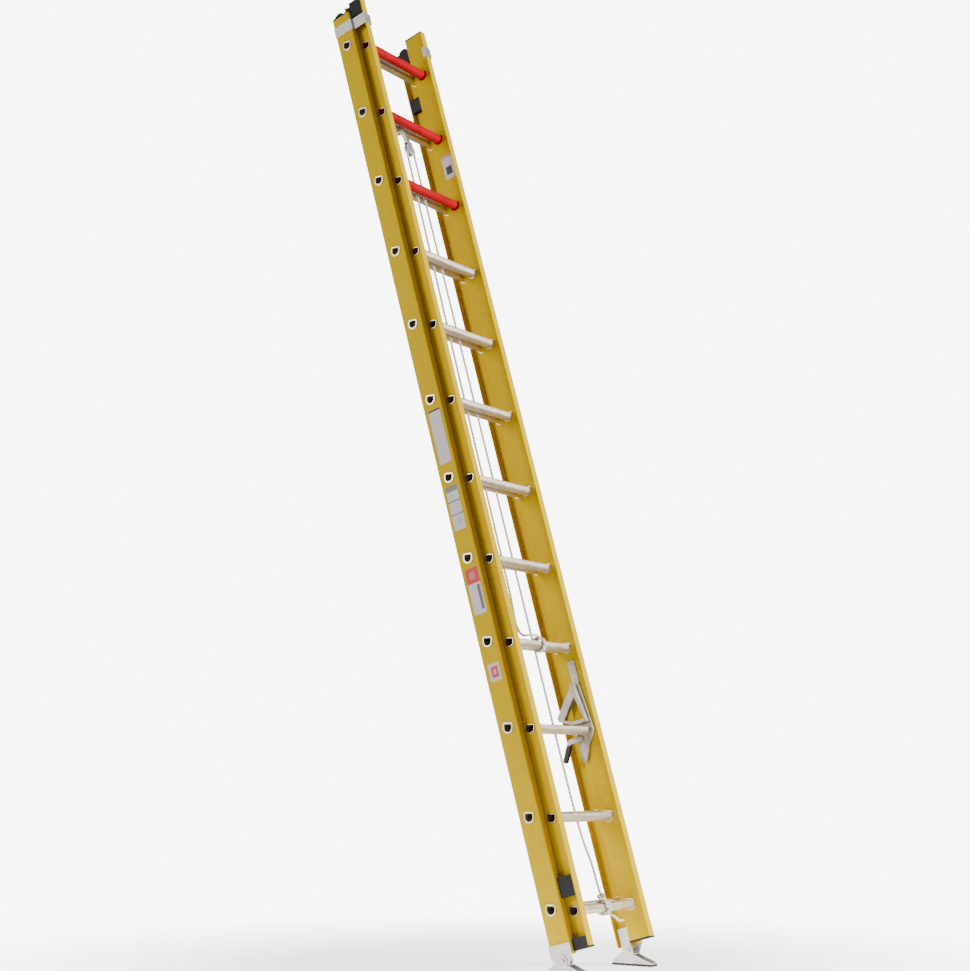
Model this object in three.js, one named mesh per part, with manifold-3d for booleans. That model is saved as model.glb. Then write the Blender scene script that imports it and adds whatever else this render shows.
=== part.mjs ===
// Two-section fibreglass extension ladder, closed, leaning at its working angle.
// Units are millimetres. World frame: +Z up, floor at Z = 0, climber on the -Y side, X across.
// Section frame: X across, Y square to the ladder (front is -Y), Z along the rails, Z = 0 at the shoe bolts.
import * as THREE from 'three';
import { mergeVertices } from 'three/addons/utils/BufferGeometryUtils.js';
import Module from 'manifold-3d';

const wasm = await Module();
wasm.setup();

// Driving dimensions
const LEAN = THREE.MathUtils.degToRad(15);
const GAP = 0.3;
const RUNG_COUNT = 12;
const RUNG_PITCH = 304.8;

const BASE_WEB_X = 224;
const FLY_WEB_X = 180;
const FLY_Y = -60.5;
const RAIL_DEPTH = 83;
const BASE_FLANGE = 28.5;
const FLY_FLANGE = 32.7;
const WALL = 4.5;
const RAIL_CORNER = 5;

const BASE_RUNG_Z = 163;
const FLY_RUNG_Z = 144.7;
const BASE_BOTTOM_Z = 15;
const BASE_TOP_Z = 3651;
const FLY_BOTTOM_Z = 28;
const FLY_LENGTH = 3657.6;
const FLY_TOP_Z = FLY_BOTTOM_Z + FLY_LENGTH;
const CAP_LID = 6;

const RUNG_HALF_WIDTH = 16.8;
const RUNG_FLAT = 14;
const RUNG_BELLY = 17;
const RUNG_CORNER = 5;
const RUNG_WALL = 2;
const BEAD_HEIGHT = 4;
const BEAD_LENGTH = 2.7;
const RED_RUNGS = 3;

const LOCK_RUNG = 2;
const PULLEY_RUNG = 10;
const HITCH_RUNG = 3;

const SHOE_HEIGHT = 50;
const SHOE_TOE = 88;
const SHOE_HEEL = 62;
const PAD = 7;
const SHEET = 3;
const BOLT_R = 4.8;

const SHEAVE_X = -5;
const SHEAVE_Y = -31;
const SHEAVE_Z = BASE_RUNG_Z + PULLEY_RUNG * RUNG_PITCH - 115;
const ROPE_R = 4.75;
const GROOVE_R = 17.2;
const PITCH_R = GROOVE_R + ROPE_R + 1;

const half = RAIL_DEPTH / 2;
const baseRungZ = (i) => BASE_RUNG_Z + i * RUNG_PITCH;
const flyRungZ = (i) => FLY_RUNG_Z + i * RUNG_PITCH;

const metal = (color, roughness = 0.45) => new THREE.MeshStandardMaterial({ color, roughness, metalness: 0.9 });
const plastic = (color, roughness = 0.6) => new THREE.MeshStandardMaterial({ color, roughness, metalness: 0 });
const fibreglass = plastic(0xcda22c, 0.5);
const aluminium = metal(0xc2b8ae, 0.4);
const redRung = plastic(0xc4101e, 0.4);
const castMetal = metal(0xb5aaa0, 0.55);
const zinc = metal(0xa9a49c, 0.35);
const blackPlastic = plastic(0x17171a, 0.6);
const rubber = plastic(0x1b1b1c, 0.85);
const ropeFibre = plastic(0xe4dfd3, 0.85);

// Boolean helpers
function toManifold(geometry) {
  const bare = geometry.clone();
  bare.deleteAttribute('normal');
  bare.deleteAttribute('uv');
  const merged = mergeVertices(bare, 1e-4);
  return new wasm.Manifold(new wasm.Mesh({
    numProp: 3,
    vertProperties: new Float32Array(merged.attributes.position.array),
    triVerts: new Uint32Array(merged.index.array),
  }));
}

function toGeometry(manifold) {
  const mesh = manifold.getMesh();
  const geometry = new THREE.BufferGeometry();
  geometry.setAttribute('position', new THREE.BufferAttribute(new Float32Array(mesh.vertProperties), 3));
  geometry.setIndex(new THREE.BufferAttribute(new Uint32Array(mesh.triVerts), 1));
  return geometry;
}

function join(...geometries) {
  return toGeometry(geometries.map(toManifold).reduce((sum, solid) => sum.add(solid)));
}

function cut(geometry, ...cutters) {
  const whole = toManifold(geometry);
  return toGeometry(cutters.map(toManifold).reduce((rest, cutter) => rest.subtract(cutter), whole));
}

// Shape helpers
const ALONG_X = new THREE.Matrix4().makeBasis(
  new THREE.Vector3(0, 1, 0), new THREE.Vector3(0, 0, 1), new THREE.Vector3(1, 0, 0));

function outline(points) {
  return new THREE.Shape(points.map(([u, v]) => new THREE.Vector2(u, v)));
}

// A side profile drawn in (Y, Z), standing from x0 to x1
function acrossX(shape, x0, x1, curveSegments = 6) {
  const geometry = new THREE.ExtrudeGeometry(shape, { depth: x1 - x0, bevelEnabled: false, curveSegments });
  return geometry.applyMatrix4(ALONG_X).translate(x0, 0, 0);
}

// A plan profile drawn in (X, Y), standing from z0 to z1
function alongZ(shape, z0, z1, curveSegments = 3) {
  const geometry = new THREE.ExtrudeGeometry(shape, { depth: z1 - z0, bevelEnabled: false, curveSegments });
  return geometry.translate(0, 0, z0);
}

function block(x0, x1, y0, y1, z0, z1) {
  const geometry = new THREE.BoxGeometry(x1 - x0, y1 - y0, z1 - z0);
  return geometry.translate((x0 + x1) / 2, (y0 + y1) / 2, (z0 + z1) / 2);
}

function rodX(radius, x0, x1, y, z, sides = 16) {
  const geometry = new THREE.CylinderGeometry(radius, radius, x1 - x0, sides);
  return geometry.rotateZ(Math.PI / 2).translate((x0 + x1) / 2, y, z);
}

function disc(y, z, radius) {
  return new THREE.Shape().absarc(y, z, radius, 0, 2 * Math.PI, false);
}

// The mirror twin of a right-hand geometry, with its faces turned outwards again
function mirrored(geometry) {
  const twin = geometry.index ? geometry.clone() : mergeVertices(geometry);
  twin.scale(-1, 1, 1);
  const index = twin.index.array;
  for (let i = 0; i < index.length; i += 3) {
    [index[i], index[i + 1]] = [index[i + 1], index[i]];
  }
  return twin;
}

const world = new THREE.Group();
const ladder = new THREE.Group();
ladder.rotation.x = -LEAN;
ladder.position.set(0, 0, SHOE_HEIGHT);
world.add(ladder);

function place(name, geometry, material, parent = ladder) {
  const mesh = new THREE.Mesh(geometry, material);
  mesh.name = name;
  parent.add(mesh);
  return mesh;
}

function placePair(name, geometry, material, parents = [ladder, ladder]) {
  place(`${name}_left`, mirrored(geometry), material, parents[0]);
  place(`${name}_right`, geometry, material, parents[1]);
}

// D section of a rung: a flat tread that lies level while the ladder leans, over a round belly
function rungShape(grow = 0, hollow = false) {
  const w = RUNG_HALF_WIDTH + grow;
  const top = RUNG_FLAT + grow;
  const belly = RUNG_BELLY + grow;
  const shape = new THREE.Shape();
  shape.moveTo(w - RUNG_CORNER, top);
  shape.lineTo(RUNG_CORNER - w, top);
  shape.lineTo(-w, top - RUNG_CORNER);
  for (let i = 0; i <= 4; i++) {
    const angle = Math.PI + (i * Math.PI) / 4;
    shape.lineTo(w * Math.cos(angle), belly * Math.sin(angle));
  }
  shape.lineTo(w, top - RUNG_CORNER);
  shape.closePath();
  if (hollow) {
    shape.holes.push(rungShape(-RUNG_WALL));
  }
  return shape;
}

function rungPiece(shape, x0, x1, y, z) {
  return acrossX(shape, x0, x1).rotateX(LEAN).translate(0, y, z);
}

// Hollow rung, swaged to a bead on the faces of each rail web that its beads list names
function rung(webOuter, beads, y, z) {
  const starts = { outer: webOuter + GAP, inner: webOuter - WALL - GAP - BEAD_LENGTH };
  const ends = webOuter + GAP + BEAD_LENGTH;
  const pieces = [rungPiece(rungShape(0, true), -ends, ends, y, z)];
  const ring = rungShape(BEAD_HEIGHT);
  ring.holes.push(rungShape(-RUNG_WALL / 2));
  for (const face of beads) {
    const start = starts[face];
    pieces.push(rungPiece(ring, start, start + BEAD_LENGTH, y, z));
    pieces.push(rungPiece(ring, -start - BEAD_LENGTH, -start, y, z));
  }
  return join(...pieces);
}

// Channel rail; opens is -1 when the flanges point to the ladder's middle and 1 when they point out
function channelRail(webOuter, opens, flange, y, z0, z1, firstRung) {
  const back = opens < 0 ? webOuter : webOuter - WALL;
  const tip = back + opens * flange;
  const webFace = back + opens * WALL;
  const chamfer = RAIL_CORNER / 2;
  const profile = outline([
    [tip, y - half], [back + opens * RAIL_CORNER, y - half],
    [back + opens * chamfer * 0.6, y - half + chamfer * 0.6],
    [back, y - half + RAIL_CORNER], [back, y + half - RAIL_CORNER],
    [back + opens * chamfer * 0.6, y + half - chamfer * 0.6],
    [back + opens * RAIL_CORNER, y + half], [tip, y + half],
    [tip, y + half - WALL], [webFace, y + half - WALL], [webFace, y - half + WALL], [tip, y - half + WALL],
  ]);
  const cutters = [];
  for (let i = 0; i < RUNG_COUNT; i++) {
    cutters.push(rungPiece(rungShape(GAP), webOuter - 2 * WALL, webOuter + WALL, y, firstRung + i * RUNG_PITCH));
  }
  return cut(alongZ(profile, z0, z1), ...cutters);
}

function rails() {
  placePair('base_rail', channelRail(BASE_WEB_X, -1, BASE_FLANGE, 0, BASE_BOTTOM_Z, BASE_TOP_Z, BASE_RUNG_Z),
    fibreglass);
  placePair('fly_rail', channelRail(FLY_WEB_X + WALL, 1, FLY_FLANGE, FLY_Y, FLY_BOTTOM_Z, FLY_TOP_Z, FLY_RUNG_Z),
    fibreglass);
}

function rungs() {
  for (let i = 0; i < RUNG_COUNT; i++) {
    place(`base_rung_${i + 1}`, rung(BASE_WEB_X, ['outer', 'inner'], 0, baseRungZ(i)), aluminium);
    const red = i >= RUNG_COUNT - RED_RUNGS;
    place(`fly_rung_${i + 1}`, rung(FLY_WEB_X + WALL, ['inner'], FLY_Y, flyRungZ(i)), red ? redRung : aluminium);
  }
}

// Plastic caps: a plug in the channel and a lid over the rail's end, clear of the other section's flange
const FLY_TIP_X = FLY_WEB_X + FLY_FLANGE;
const BASE_TIP_X = BASE_WEB_X - BASE_FLANGE;
const FLY_PLUG = [FLY_WEB_X + WALL + GAP, FLY_TIP_X - GAP, FLY_Y - half + WALL + GAP, -half - 0.6];

function flyCap(railEnd, outward, plugLength) {
  const lidFar = railEnd + outward * (GAP + CAP_LID);
  const z0 = Math.min(railEnd + outward * GAP, lidFar);
  const z1 = Math.max(railEnd + outward * GAP, lidFar);
  const plugFar = railEnd - outward * plugLength;
  return join(
    block(FLY_WEB_X, FLY_TIP_X, FLY_Y - half, FLY_PLUG[3], z0, z1),
    block(FLY_WEB_X, BASE_TIP_X - 1.2, FLY_PLUG[3] - 1, FLY_Y + half, z0, z1),
    block(...FLY_PLUG, Math.min(plugFar, z0 + 1), Math.max(plugFar, z1 - 1)),
  );
}

function baseTopCap() {
  const z0 = BASE_TOP_Z + GAP;
  const z1 = z0 + CAP_LID;
  const behindFly = FLY_Y + half + 1.2;
  const dome = new THREE.Shape();
  dome.moveTo(-12, z1 - 1);
  dome.quadraticCurveTo(-10, z0 + 22, 8, z0 + 22);
  dome.quadraticCurveTo(30, z0 + 20, 34, z1 - 1);
  dome.closePath();
  return join(
    block(FLY_TIP_X + 1, BASE_WEB_X, -half, half, z0, z1),
    block(BASE_TIP_X, FLY_TIP_X + 2, behindFly, half, z0, z1),
    block(BASE_TIP_X + 1, BASE_WEB_X - WALL - GAP, behindFly, half - WALL - GAP, z0 - 45, z0 + 1),
    acrossX(dome, BASE_TIP_X, BASE_TIP_X + 24),
  );
}

function caps() {
  placePair('fly_top_cap', flyCap(FLY_TOP_Z, 1, 60), blackPlastic);
  placePair('fly_bottom_cap', flyCap(FLY_BOTTOM_Z, -1, 32), blackPlastic);
  placePair('base_top_cap', baseTopCap(), blackPlastic);
}

// Plastic blocks that fill the play between the interlocked rails
function guideBlocks() {
  placePair('fly_guide_block', block(...FLY_PLUG, 191, 257), blackPlastic);
  const z = BASE_TOP_Z - 276;
  const inside = [BASE_TIP_X + 1, BASE_WEB_X - WALL - GAP, FLY_Y + half + 1.2, half - WALL - GAP];
  placePair('base_guide_block', block(...inside, z, z + 58), blackPlastic);
}

// Sheet-metal guide: riveted round the base rail's web, stepped in, then hooked round the fly's front flange
function guideBracket() {
  const t = 2.5;
  const outer = BASE_WEB_X + GAP + t;
  const side = FLY_TIP_X + 0.8;
  const front = FLY_Y - half - 1;
  const lip = FLY_WEB_X - GAP;
  const step = -half - GAP;
  const profile = outline([
    [outer - t, half], [outer, half], [outer, step - t], [side + t, step - t], [side + t, front - t],
    [lip - t, front - t], [lip - t, front + 14], [lip, front + 14], [lip, front], [side, front],
    [side, step], [outer - t, step],
  ]);
  placePair('guide_bracket', alongZ(profile, BASE_TOP_Z - 81, BASE_TOP_Z - 35), aluminium);
}

// Foot: a metal strap carries the shoe bolt under the rail's end
const FOOT_OUTER_X = BASE_WEB_X + GAP + SHEET;
const FOOT_INNER_X = BASE_TIP_X - GAP - SHEET;

function footBracket() {
  const outerLeg = outline([
    [-half, BASE_BOTTOM_Z + 38], [-half, BASE_BOTTOM_Z], [-20, -17], [20, -17], [half, BASE_BOTTOM_Z],
    [half, BASE_BOTTOM_Z + 38],
  ]);
  const strap = join(
    acrossX(outerLeg, FOOT_OUTER_X - SHEET, FOOT_OUTER_X),
    block(FOOT_INNER_X, FOOT_INNER_X + SHEET, -15, 22, -17, BASE_BOTTOM_Z + 60),
    block(FOOT_INNER_X, FOOT_OUTER_X, -15, 20, -17, -17 + SHEET),
  );
  return cut(strap, rodX(BOLT_R + 0.5, FOOT_INNER_X - 5, FOOT_OUTER_X + 5, 0, 0));
}

const SHOE_INNER_X = FOOT_INNER_X - GAP - SHEET;
const SHOE_OUTER_X = FOOT_OUTER_X + GAP + SHEET;

function shoe() {
  const plate = new THREE.Shape();
  plate.moveTo(-SHOE_TOE, -SHOE_HEIGHT + PAD);
  plate.lineTo(SHOE_HEEL, -SHOE_HEIGHT + PAD);
  plate.lineTo(SHOE_HEEL, -SHOE_HEIGHT + PAD + 6);
  plate.absarc(2, 0, 20, -0.2, Math.PI + 0.5, false);
  plate.lineTo(-SHOE_TOE, -SHOE_HEIGHT + PAD + 6);
  plate.closePath();
  const sole = -SHOE_HEIGHT + PAD;
  const body = join(
    acrossX(plate, SHOE_INNER_X, SHOE_INNER_X + SHEET),
    acrossX(plate, SHOE_OUTER_X - SHEET, SHOE_OUTER_X),
    block(SHOE_INNER_X, SHOE_OUTER_X, -SHOE_TOE, SHOE_HEEL, sole, sole + SHEET),
  );
  return cut(body, rodX(BOLT_R + 0.5, SHOE_INNER_X - 5, SHOE_OUTER_X + 5, 0, 0));
}

function shoePad() {
  const pad = block(SHOE_INNER_X - 1, SHOE_OUTER_X + 1, -SHOE_TOE - 2, SHOE_HEEL + 2,
    -SHOE_HEIGHT, -SHOE_HEIGHT + PAD - GAP);
  const grooves = [];
  for (let y = -SHOE_TOE + 14; y < SHOE_HEEL - 8; y += 21) {
    grooves.push(block(SHOE_INNER_X - 3, SHOE_OUTER_X + 3, y, y + 7, -SHOE_HEIGHT - 1, -SHOE_HEIGHT + 2.2));
  }
  return cut(pad, ...grooves);
}

function shoeBolt() {
  return join(
    rodX(BOLT_R, SHOE_INNER_X - 8, SHOE_OUTER_X + 2, 0, 0),
    rodX(9, SHOE_OUTER_X + GAP, SHOE_OUTER_X + 6, 0, 0, 6),
    rodX(9, SHOE_INNER_X - GAP - 7, SHOE_INNER_X - GAP, 0, 0, 6),
  );
}

function feet() {
  const level = [0, 1].map(() => {
    const frame = new THREE.Group();
    frame.rotation.x = LEAN;
    ladder.add(frame);
    return frame;
  });
  placePair('foot_bracket', footBracket(), zinc);
  placePair('shoe_bolt', shoeBolt(), zinc);
  placePair('shoe', shoe(), zinc, level);
  placePair('shoe_pad', shoePad(), rubber, level);
}

// Rung lock: a cast frame round a fly rung, a latch that hooks over a base rung, and a finger that guides it
const LOCK_Z = flyRungZ(LOCK_RUNG);
const HOOK_R = 137.6;
const LOCK_X = 152;
const LOCK_PLATE_X = 171;
const LOCK_WEB_X = 176.4;
const LATCH_PIN = [-59, LOCK_Z + 164];
const FINGER_PIN = [-38, LOCK_Z - 25];
const PIN_R = 4;
const PIN_HOLE_R = 4.5;
const BOSS_R = 9;

function lockFrame() {
  const plate = outline([
    [-78, LOCK_Z + 178], [-51, LOCK_Z + 178], [-49, LOCK_Z + 152], [-72, LOCK_Z + 48], [-72, LOCK_Z + 26],
    [-30, LOCK_Z + 26], [-22, LOCK_Z + 14], [-21, LOCK_Z - 54], [-21, LOCK_Z - 102], [-30, LOCK_Z - 109],
    [-40, LOCK_Z - 102], [-60, LOCK_Z - 54], [-88, LOCK_Z - 16], [-93, LOCK_Z], [-91, LOCK_Z + 16],
  ]);
  const body = join(
    acrossX(plate, LOCK_PLATE_X, LOCK_WEB_X),
    block(LOCK_WEB_X - 1, FLY_WEB_X - GAP, -80, -51, LOCK_Z + 170, LOCK_Z + 254),
    rodX(PIN_R, LOCK_X - 1, LOCK_PLATE_X + 1, ...LATCH_PIN),
    rodX(PIN_R, LOCK_X, LOCK_PLATE_X + 1, ...FINGER_PIN),
  );
  return cut(body, rungPiece(rungShape(0.6), LOCK_X - 5, LOCK_WEB_X + 5, FLY_Y, LOCK_Z));
}

function lockLatch() {
  const [y, z] = LATCH_PIN;
  const arm = new THREE.Shape();
  arm.moveTo(y - 7, z - 8);
  arm.absarc(y, z, BOSS_R, Math.PI + 0.6, -0.5, true);
  const sole = (u) => z - Math.sqrt(HOOK_R ** 2 - (u - y) ** 2);
  arm.lineTo(31, sole(29) + 10);
  for (let u = 29; u >= -84; u -= 14) {
    arm.lineTo(u, sole(u));
  }
  arm.closePath();
  arm.holes.push(outline([[-57, z - 40], [-76, sole(-76) + 11], [-30, sole(-30) + 11], [4, sole(4) + 12]]));
  return cut(acrossX(arm, LOCK_X, LOCK_PLATE_X - 0.5), rodX(PIN_HOLE_R, LOCK_X - 5, LOCK_WEB_X, ...LATCH_PIN));
}

function lockFinger() {
  const [y, z] = FINGER_PIN;
  const arm = new THREE.Shape();
  arm.moveTo(y, z - 8);
  arm.absarc(y, z, 8, -Math.PI / 2, Math.PI / 2, true);
  arm.lineTo(4, z + 9);
  arm.lineTo(14, z + 4);
  arm.lineTo(50, z - 57);
  arm.lineTo(47, z - 66);
  arm.lineTo(37, z - 65);
  arm.lineTo(2, z - 8);
  arm.closePath();
  const solid = acrossX(arm, LOCK_X + 2, LOCK_PLATE_X - 2);
  return cut(solid, rodX(PIN_HOLE_R, LOCK_X - 5, LOCK_WEB_X, ...FINGER_PIN));
}

function rungLocks() {
  placePair('lock_frame', lockFrame(), castMetal);
  placePair('lock_latch', lockLatch(), castMetal);
  placePair('lock_finger', lockFinger(), blackPlastic);
}

// Pulley hung in front of a base rung: the rung strap and fork, the sheave and its axle
const SHEAVE_HALF = 7;
const FORK = 2.2;

function pulleyHanger() {
  const rungZ = baseRungZ(PULLEY_RUNG);
  const x0 = SHEAVE_X - 9;
  const x1 = SHEAVE_X + 9;
  const ring = cut(acrossX(disc(0, rungZ, 25), x0, x1, 10), rungPiece(rungShape(1), x0 - 5, x1 + 5, 0, rungZ));
  const neck = outline([
    [-22, rungZ - 8], [-12, rungZ - 21], [SHEAVE_Y + 8.6, SHEAVE_Z + 34], [SHEAVE_Y - 8.6, SHEAVE_Z + 34],
    [SHEAVE_Y - 5, SHEAVE_Z + 44],
  ]);
  const bridge = block(SHEAVE_X - 13, SHEAVE_X + 13, SHEAVE_Y - 8.6, SHEAVE_Y + 8.6,
    SHEAVE_Z + 32, SHEAVE_Z + 35);
  const cheeks = [-1, 1].map((side) => {
    const y0 = SHEAVE_Y + side * (SHEAVE_HALF + 0.4);
    const y1 = y0 + side * FORK;
    return block(SHEAVE_X - 13, SHEAVE_X + 13, Math.min(y0, y1), Math.max(y0, y1), SHEAVE_Z - 13, SHEAVE_Z + 34);
  });
  const hole = new THREE.CylinderGeometry(4.4, 4.4, 60, 16).translate(SHEAVE_X, SHEAVE_Y, SHEAVE_Z);
  return cut(join(ring, acrossX(neck, x0, x1), bridge, ...cheeks), hole);
}

function pulleySheave() {
  const profile = [
    [4.4, -SHEAVE_HALF], [26, -SHEAVE_HALF], [26, -SHEAVE_HALF + 1], [GROOVE_R + 4, -5.8], [GROOVE_R + 0.8, -3.6],
    [GROOVE_R, 0], [GROOVE_R + 0.8, 3.6], [GROOVE_R + 4, 5.8], [26, SHEAVE_HALF - 1], [26, SHEAVE_HALF],
    [4.4, SHEAVE_HALF], [4.4, -SHEAVE_HALF],
  ];
  const wheel = new THREE.LatheGeometry(profile.map(([r, h]) => new THREE.Vector2(r, h)), 20);
  const bare = mergeVertices(wheel.deleteAttribute('normal').deleteAttribute('uv'), 1e-4);
  return bare.translate(SHEAVE_X, SHEAVE_Y, SHEAVE_Z);
}

function pulleyAxle() {
  const fork = SHEAVE_HALF + 0.4 + FORK;
  const rod = new THREE.CylinderGeometry(4, 4, 2 * fork + 1, 16);
  const head = new THREE.CylinderGeometry(6.5, 6.5, 1.6, 16).translate(0, fork + GAP + 0.8, 0);
  return join(rod, head).translate(SHEAVE_X, SHEAVE_Y, SHEAVE_Z);
}

function pulley() {
  place('pulley_hanger', pulleyHanger(), zinc);
  place('pulley_sheave', pulleySheave(), plastic(0x8d8f90, 0.5));
  place('pulley_axle', pulleyAxle(), zinc);
}

// Halyard: from the knot on the lowest fly rung, up over the sheave and down to the hitch
function ropeTube(points, sides = 8) {
  const path = new THREE.CatmullRomCurve3(points.map((p) => new THREE.Vector3(...p)), false, 'centripetal');
  path.getPointAt = path.getPoint;
  path.getTangentAt = path.getTangent;
  const steps = 2 * (points.length - 1);
  const section = new THREE.Shape();
  for (let i = 0; i < sides; i++) {
    const angle = (i * 2 * Math.PI) / sides;
    const radius = ROPE_R - 0.1;
    section[i ? 'lineTo' : 'moveTo'](radius * Math.cos(angle), radius * Math.sin(angle));
  }
  section.closePath();
  return new THREE.ExtrudeGeometry(section, { steps, extrudePath: path, bevelEnabled: false });
}

const KNOT_R = 13;
const KNOT = [-38, FLY_Y - 23, flyRungZ(0) + 31];
const HITCH_Z = flyRungZ(HITCH_RUNG);
const HITCH_TOP = HITCH_Z + 42;
const HITCH_X = -1;
const HOIST_X = -18.5;
const LOOP_STEP = 7.2;
const LOOP_R = 26.8;

const HALYARD = [
  [KNOT[0], KNOT[1], KNOT[2] + KNOT_R + GAP],
  [KNOT[0] + 3, KNOT[1] + 4, KNOT[2] + KNOT_R + 20],
  [-8, -62, 280],
  [10, -38, 380],
  [16, SHEAVE_Y, 480],
  [16, SHEAVE_Y, 1100],
  [15, SHEAVE_Y, 2100],
  [SHEAVE_X + PITCH_R, SHEAVE_Y, SHEAVE_Z - 60],
  [SHEAVE_X + PITCH_R, SHEAVE_Y, SHEAVE_Z],
  [SHEAVE_X + PITCH_R * Math.SQRT1_2, SHEAVE_Y, SHEAVE_Z + PITCH_R * Math.SQRT1_2],
  [SHEAVE_X, SHEAVE_Y, SHEAVE_Z + PITCH_R],
  [SHEAVE_X - PITCH_R * Math.SQRT1_2, SHEAVE_Y, SHEAVE_Z + PITCH_R * Math.SQRT1_2],
  [SHEAVE_X - PITCH_R, SHEAVE_Y, SHEAVE_Z],
  [SHEAVE_X - PITCH_R, SHEAVE_Y, SHEAVE_Z - 60],
  [-46, SHEAVE_Y, 2100],
  [-72, SHEAVE_Y - 2, 1250],
  [-88, SHEAVE_Y - 6, 1150],
  [-90, SHEAVE_Y - 20, HITCH_TOP + 18],
  [-76, FLY_Y + 6, HITCH_TOP + 1],
  [-50, FLY_Y, HITCH_TOP],
  [-12, FLY_Y, HITCH_TOP],
  [0, FLY_Y, HITCH_TOP - 1],
  [4, FLY_Y, HITCH_TOP - 9],
];

function loopRound(x, z) {
  return new THREE.TorusGeometry(LOOP_R, ROPE_R, 6, 16).rotateY(Math.PI / 2).translate(x, FLY_Y, z);
}

function halyard() {
  place('halyard', ropeTube(HALYARD), ropeFibre);
  const z = flyRungZ(0);
  const knot = new THREE.IcosahedronGeometry(KNOT_R, 1).translate(...KNOT);
  const [x, front] = [HOIST_X + LOOP_STEP, FLY_Y - LOOP_R];
  const bridle = ropeTube([KNOT, [-30, front - 1, z + 18], [HOIST_X - 4, front, z + 8], [HOIST_X + 2, front, z]]);
  const tail = ropeTube([[x, FLY_Y, z - 24], [x + 4, FLY_Y, z - 41], [30, FLY_Y, z - 46], [70, FLY_Y, z - 48],
    [104, FLY_Y, z - 50]]);
  const loops = [loopRound(HOIST_X, z), loopRound(x, z)];
  place('hoist_knot', join(knot, bridle, ...loops, tail), ropeFibre);
  place('fall_hitch', join(loopRound(HITCH_X, HITCH_Z), loopRound(HITCH_X + LOOP_STEP, HITCH_Z)), ropeFibre);
}

rails();
rungs();
caps();
guideBlocks();
guideBracket();
feet();
rungLocks();
pulley();
halyard();

// Centre the footprint of the whole ladder on the origin
world.updateMatrixWorld(true);
const box = new THREE.Box3().setFromObject(world, true);
world.position.y = -(box.min.y + box.max.y) / 2;
world.position.z = -box.min.z;

export default world;
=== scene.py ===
import math
import bpy
import bmesh
from mathutils import Matrix, Vector


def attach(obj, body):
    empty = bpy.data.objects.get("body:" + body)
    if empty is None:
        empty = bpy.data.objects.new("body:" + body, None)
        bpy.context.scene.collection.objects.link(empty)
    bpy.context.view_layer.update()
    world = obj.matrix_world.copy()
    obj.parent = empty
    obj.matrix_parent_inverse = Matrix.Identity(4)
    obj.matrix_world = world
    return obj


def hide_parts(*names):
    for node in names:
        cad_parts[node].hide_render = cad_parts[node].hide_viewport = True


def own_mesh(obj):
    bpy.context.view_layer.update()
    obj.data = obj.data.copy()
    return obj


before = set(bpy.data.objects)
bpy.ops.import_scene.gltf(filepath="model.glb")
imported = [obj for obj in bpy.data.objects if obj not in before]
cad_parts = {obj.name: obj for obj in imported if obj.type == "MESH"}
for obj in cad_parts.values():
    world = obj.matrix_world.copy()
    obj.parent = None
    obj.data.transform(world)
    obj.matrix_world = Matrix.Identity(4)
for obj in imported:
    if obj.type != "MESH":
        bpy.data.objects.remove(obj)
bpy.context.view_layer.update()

# ladder frame: x across, y square to the ladder, z up the rails, in metres
leanAngle = math.radians(15)
footprintShift = -0.446878384
boltHeight = 0.05
leanMatrix = Matrix.Translation((0, footprintShift, boltHeight)) @ Matrix.Rotation(-leanAngle, 4, "X")

ladder = {
    "rungs": 12,
    "pitch": 0.3048,
    "baseFirst": 0.163,
    "flyFirst": 0.1447,
    "flyY": -0.0605,
    "baseWeb": 0.224,
    "flyWeb": 0.1845,
    "wall": 0.0045,
    "depth": 0.083,
}


def up(x, y, z):
    return leanMatrix @ Vector((x, y, z))


def baseRungZ(i):
    return ladder["baseFirst"] + i * ladder["pitch"]


def flyRungZ(i):
    return ladder["flyFirst"] + i * ladder["pitch"]


# camera
camera = {
    "place": (-5.0015, -3.0657, -3.7473),  # from the middle of the top base rung, ladder frame
    "turn": (-0.4199, -0.9409, -0.0408),
    "focal": 1689.2,
    "centre": (434.2, 459.5),
    "image": (970, 971),
}


def makeCamera():
    topRung = baseRungZ(ladder["rungs"] - 1)
    x, y, z = camera["place"]
    turn = Vector(camera["turn"])
    rotation = Matrix.Rotation(turn.length, 3, turn.normalized())
    swap = Matrix(((1, 0, 0), (0, 0, -1), (0, 1, 0)))  # ladder axes to camera axes: right, down, forward
    view = rotation @ swap
    right, down, forward = (Vector(view[i]) for i in range(3))
    local = Matrix((right, -down, -forward)).transposed().to_4x4()
    local.translation = Vector((x, y, z + topRung))
    data = bpy.data.cameras.new("viewCamera")
    width, height = camera["image"]
    span = max(width, height)
    data.sensor_fit = "AUTO"
    data.sensor_width = 36
    data.lens = camera["focal"] * 36 / span
    data.shift_x = (width / 2 - camera["centre"][0]) / span
    data.shift_y = (camera["centre"][1] - height / 2) / span
    data.clip_end = 100
    data.dof.use_dof = False
    obj = bpy.data.objects.new("viewCamera", data)
    bpy.context.scene.collection.objects.link(obj)
    obj.matrix_world = leanMatrix @ local
    bpy.context.scene.camera = obj
    print("camera at", [round(v, 3) for v in obj.matrix_world.translation])
    return obj


makeCamera()


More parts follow.
